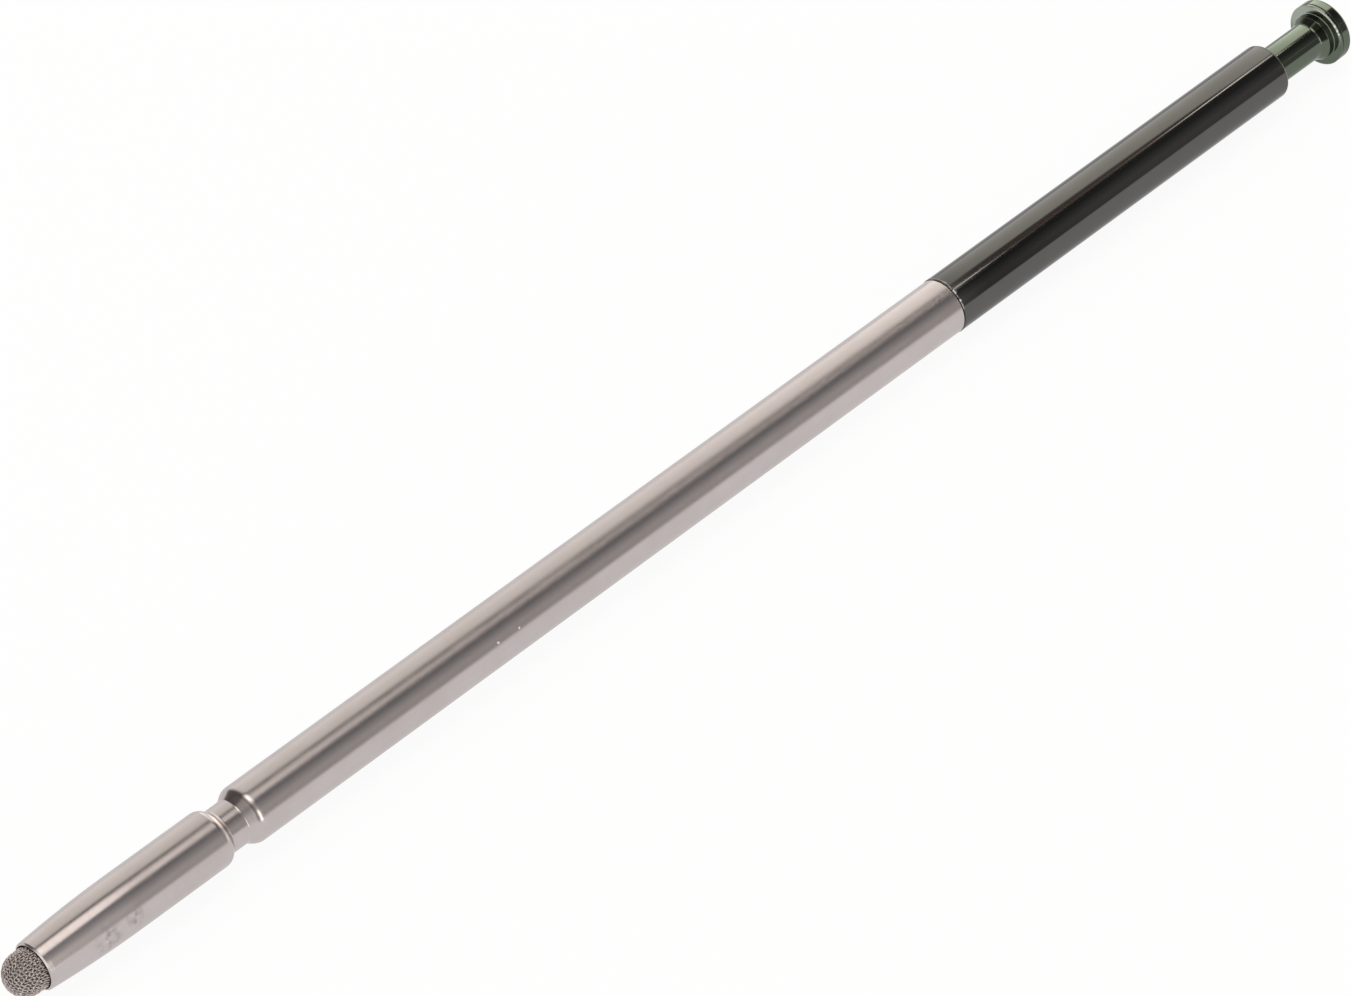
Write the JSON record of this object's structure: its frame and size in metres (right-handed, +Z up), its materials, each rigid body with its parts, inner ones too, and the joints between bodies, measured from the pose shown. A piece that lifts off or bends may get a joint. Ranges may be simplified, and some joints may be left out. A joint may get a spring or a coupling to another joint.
{
  "type": "stylus pen",
  "caption": "Slim pocket stylus with a woven conductive dome tip, a satin steel nose and barrel with a detent groove, a dark polished sleeve and a push-to-release plunger.",
  "frame": {"origin": "on the surface that the pen lies on, under the middle of its length and on its axis in plan", "axes": "+X along the pen from the tip to the plunger's head, +Z up; the cam follower's pivot is parallel to Z"},
  "size_m": [0.108, 0.004, 0.004],
  "materials": {
    "woven_mesh": "fine silvered weave, dark grey-brown",
    "silicone": "soft and plain",
    "ferrule_brass": "turned",
    "satin_steel": "fine satin, warm grey",
    "coupler_steel": "as turned, dark in the joint",
    "dark_plate": "polished dark plating",
    "green_plate": "polished plating with a green tint",
    "acetal": "moulded",
    "spring_steel": "drawn wire and strip"
  },
  "bodies": {
    "pen": {"tip_mesh": "woven_mesh", "tip_core": "silicone", "tip_ferrule": "ferrule_brass", "nose_cone": "satin_steel", "barrel_tube": "satin_steel", "joint_coupler": "coupler_steel", "upper_sleeve": "dark_plate", "rod_bush": "acetal", "pin_leaf": "spring_steel", "pin_carrier": "acetal", "return_spring": "spring_steel"},
    "plunger": {"plunger": "green_plate", "cam_slider": "acetal"},
    "follower": {"cam_pin": "spring_steel"}
  },
  "joints": [
    {"name": "plunger_slide", "type": "slide", "parent": "pen", "child": "plunger", "axis": [1, 0, 0], "range_m": [-0.0036, 0], "stiffness_N_per_m": 120, "springref_m": 0.003, "deforming": ["return_spring"]},
    {"name": "follower_swing", "type": "hinge", "parent": "pen", "child": "follower", "pos_m": [0.02552, 0, 0.0025], "axis": [0, 0, 1], "range_deg": [-4, 0]}
  ],
  "couplings": [
    {"joint": "follower_swing", "follows": "plunger_slide", "rad_per_m": 19.24}
  ]
}
